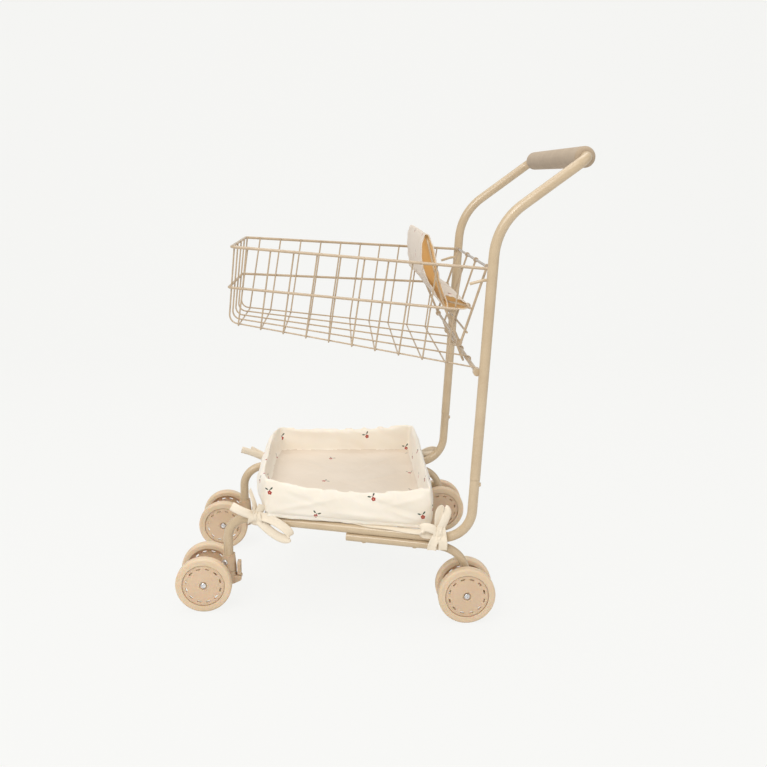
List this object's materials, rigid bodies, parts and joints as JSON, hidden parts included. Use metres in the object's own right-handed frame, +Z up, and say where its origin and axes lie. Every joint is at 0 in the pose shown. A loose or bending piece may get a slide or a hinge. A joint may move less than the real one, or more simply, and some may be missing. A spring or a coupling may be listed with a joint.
{
  "type": "toy shopping cart",
  "caption": "Doll-size shopping cart: bent tube frame with push handle, tapered wire basket, swinging rear gate with folding doll seat, padded lower tray, twin-wheel swivel casters.",
  "frame": {"origin": "on the floor, at the middle of the outline", "axes": "+Z up, +X towards the person pushing, -X the front of the cart, +Y the cart's right side"},
  "size_m": [0.486, 0.3618, 0.553],
  "materials": {
    "frame_paint": "satin beige powder coat",
    "wire_paint": "satin beige powder coat on wire",
    "grip_foam": "matt closed-cell foam",
    "wheel_plastic": "satin moulded plastic",
    "caster_plastic": "fine-grained moulded plastic",
    "button_steel": "painted steel",
    "zinc": "bright zinc plate",
    "seat_cloth": "woven cotton with a small scattered print",
    "tray_cloth": "padded woven cotton with a small scattered print",
    "board": "stiff plastic board inside the cloth",
    "ribbon": "woven cotton tape"
  },
  "bodies": {
    "frame": {"push_handle": "frame_paint", "rear_leg_left": "frame_paint", "rear_leg_right": "frame_paint", "frame_tube_left": "frame_paint", "frame_tube_right": "frame_paint", "cross_bars": "frame_paint", "joint_spigots": "frame_paint", "stop_arms": "frame_paint", "cross_rod_lugs": "frame_paint", "basket_rim": "wire_paint", "basket_mid_ring": "wire_paint", "basket_u_wires": "wire_paint", "basket_l_wires": "wire_paint", "top_rod": "wire_paint", "cross_rod": "wire_paint", "handle_grip": "grip_foam", "leg_rivets": "button_steel", "caster_collar_left": "caster_plastic", "caster_collar_right": "caster_plastic", "rear_axles": "zinc", "rear_axle_screws": "zinc", "collar_screws": "zinc", "caster_pivots": "zinc", "tray_walls": "tray_cloth", "tray_pad": "tray_cloth", "tray_board": "board", "tie_front_left": "ribbon", "tie_front_right": "ribbon", "tie_rear_left": "ribbon", "tie_rear_right": "ribbon"},
    "gate": {"gate_hangers": "wire_paint", "gate_eyelets": "wire_paint", "gate_cross_wires": "wire_paint", "gate_foot_loops": "wire_paint"},
    "seat_back": {"seat_back_frame": "wire_paint", "seat_back_cover": "seat_cloth"},
    "seat_base": {"seat_base_frame": "wire_paint", "seat_base_cover": "seat_cloth"},
    "caster_left": {"caster_fork_left": "caster_plastic", "front_axle_left": "zinc", "front_screws_left": "zinc"},
    "lever_left": {"lock_lever_left": "caster_plastic"},
    "wheel_front_left_outer": {"wheel_front_left_outer": "wheel_plastic"},
    "wheel_rear_left_outer": {"wheel_rear_left_outer": "wheel_plastic"},
    "wheel_front_left_inner": {"wheel_front_left_inner": "wheel_plastic"},
    "wheel_rear_left_inner": {"wheel_rear_left_inner": "wheel_plastic"},
    "button_left": {"snap_button_left": "button_steel"},
    "caster_right": {"caster_fork_right": "caster_plastic", "front_axle_right": "zinc", "front_screws_right": "zinc"},
    "lever_right": {"lock_lever_right": "caster_plastic"},
    "wheel_front_right_outer": {"wheel_front_right_outer": "wheel_plastic"},
    "wheel_rear_right_outer": {"wheel_rear_right_outer": "wheel_plastic"},
    "wheel_front_right_inner": {"wheel_front_right_inner": "wheel_plastic"},
    "wheel_rear_right_inner": {"wheel_rear_right_inner": "wheel_plastic"},
    "button_right": {"snap_button_right": "button_steel"}
  },
  "joints": [
    {"name": "caster_swivel_left", "type": "hinge", "parent": "frame", "child": "caster_left", "pos_m": [-0.181, -0.1062, 0.034], "axis": [0, 0, 1], "continuous": true},
    {"name": "lock_lever_tilt_left", "type": "hinge", "parent": "caster_left", "child": "lever_left", "pos_m": [-0.1688, -0.1062, 0.0325], "axis": [0, 1, 0], "range_deg": [0, 20]},
    {"name": "spin_front_left_outer", "type": "hinge", "parent": "caster_left", "child": "wheel_front_left_outer", "pos_m": [-0.209, -0.1062, 0.034], "axis": [0, 1, 0], "continuous": true},
    {"name": "spin_rear_left_outer", "type": "hinge", "parent": "frame", "child": "wheel_rear_left_outer", "pos_m": [0.1057, -0.1572, 0.034], "axis": [0, 1, 0], "continuous": true},
    {"name": "spin_front_left_inner", "type": "hinge", "parent": "caster_left", "child": "wheel_front_left_inner", "pos_m": [-0.209, -0.1062, 0.034], "axis": [0, 1, 0], "continuous": true},
    {"name": "spin_rear_left_inner", "type": "hinge", "parent": "frame", "child": "wheel_rear_left_inner", "pos_m": [0.1057, -0.1572, 0.034], "axis": [0, 1, 0], "continuous": true},
    {"name": "snap_press_left", "type": "slide", "parent": "frame", "child": "button_left", "axis": [-1, 0, 0], "range_m": [0, 0.0025], "stiffness_N_per_m": 400},
    {"name": "caster_swivel_right", "type": "hinge", "parent": "frame", "child": "caster_right", "pos_m": [-0.181, 0.1062, 0.034], "axis": [0, 0, 1], "continuous": true},
    {"name": "lock_lever_tilt_right", "type": "hinge", "parent": "caster_right", "child": "lever_right", "pos_m": [-0.1688, 0.1062, 0.0325], "axis": [0, 1, 0], "range_deg": [0, 20]},
    {"name": "spin_front_right_outer", "type": "hinge", "parent": "caster_right", "child": "wheel_front_right_outer", "pos_m": [-0.209, 0.1062, 0.034], "axis": [0, 1, 0], "continuous": true},
    {"name": "spin_rear_right_outer", "type": "hinge", "parent": "frame", "child": "wheel_rear_right_outer", "pos_m": [0.1057, 0.1572, 0.034], "axis": [0, 1, 0], "continuous": true},
    {"name": "spin_front_right_inner", "type": "hinge", "parent": "caster_right", "child": "wheel_front_right_inner", "pos_m": [-0.209, 0.1062, 0.034], "axis": [0, 1, 0], "continuous": true},
    {"name": "spin_rear_right_inner", "type": "hinge", "parent": "frame", "child": "wheel_rear_right_inner", "pos_m": [0.1057, 0.1572, 0.034], "axis": [0, 1, 0], "continuous": true},
    {"name": "snap_press_right", "type": "slide", "parent": "frame", "child": "button_right", "axis": [-1, 0, 0], "range_m": [0, 0.0025], "stiffness_N_per_m": 400},
    {"name": "gate_swing", "type": "hinge", "parent": "frame", "child": "gate", "pos_m": [0.1255, 0, 0.4184], "axis": [0, 1, 0], "range_deg": [0, 10]},
    {"name": "seat_base_fold", "type": "hinge", "parent": "gate", "child": "seat_base", "pos_m": [0.10689, 0, 0.37093], "axis": [0, 1, 0], "range_deg": [0, 80]},
    {"name": "seat_back_fold", "type": "hinge", "parent": "gate", "child": "seat_back", "pos_m": [0.0966, 0, 0.3295], "axis": [0, 1, 0], "range_deg": [0, 16.2]}
  ],
  "couplings": [
    {"joint": "seat_back_fold", "follows": "seat_base_fold", "ratio": 0.2}
  ]
}
